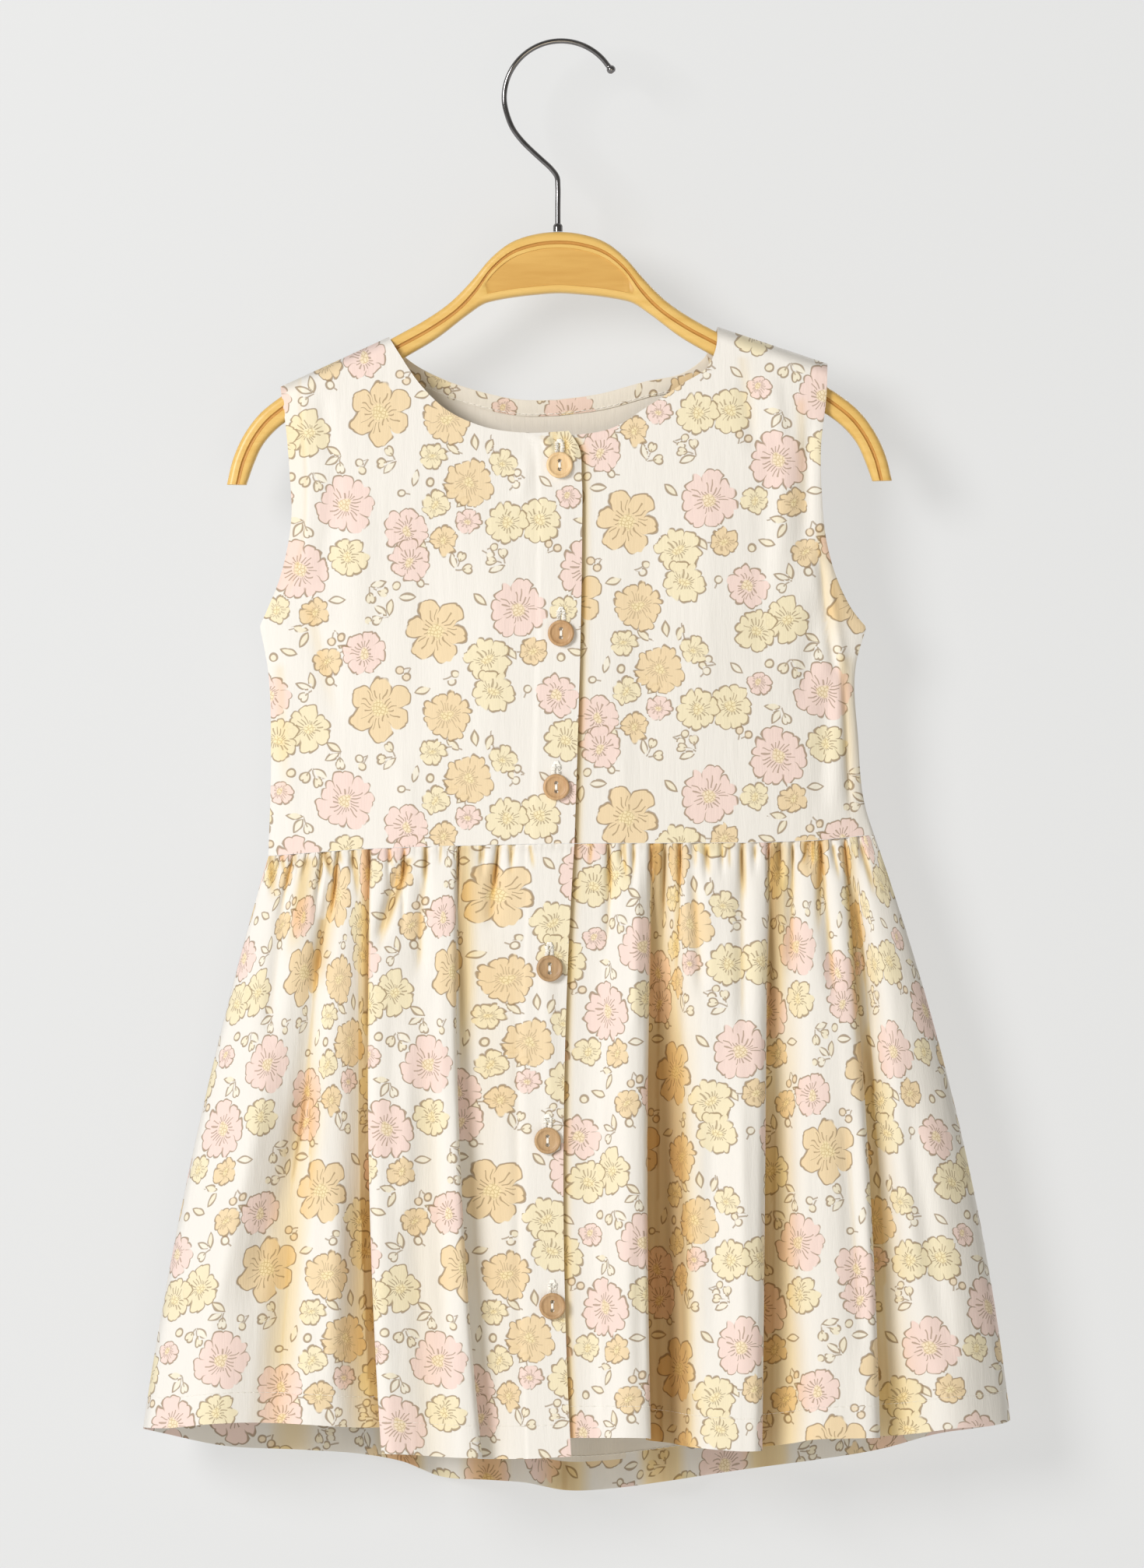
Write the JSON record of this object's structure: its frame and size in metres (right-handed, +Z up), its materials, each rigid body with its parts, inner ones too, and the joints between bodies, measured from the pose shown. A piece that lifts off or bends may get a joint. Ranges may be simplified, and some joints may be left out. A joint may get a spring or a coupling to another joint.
{
  "type": "sleeveless button-front dress on a clothes hanger",
  "caption": "Toddler's sleeveless dress with a flower print, gathered skirt and wooden buttons, hanging on a wooden hanger with a wire hook.",
  "frame": {"origin": "inside of the hook's crown, where a rail, nail or peg holds the hanger", "axes": "+Z up along the hook's shaft, -Y out of the dress's buttoned front, +X to the wearer's left"},
  "size_m": [0.4044, 0.0691, 0.6768],
  "materials": {
    "printed_cloth": "matte crinkled viscose with a flower print",
    "hanger_wood": "satin varnish",
    "hook_metal": "polished",
    "button_pale": "satin",
    "button_tan": "satin"
  },
  "bodies": {
    "root": {"bodice_front_over": "printed_cloth", "bodice_front_under": "printed_cloth", "bodice_back": "printed_cloth", "skirt_front_over": "printed_cloth", "skirt_front_under": "printed_cloth", "skirt_back": "printed_cloth", "neck_facing_back": "printed_cloth", "button_1": "button_pale", "button_2": "button_tan", "button_3": "button_tan", "button_4": "button_tan", "button_5": "button_tan", "button_6": "button_tan", "hanger_wood": "hanger_wood", "hanger_hook": "hook_metal"}
  },
  "joints": []
}
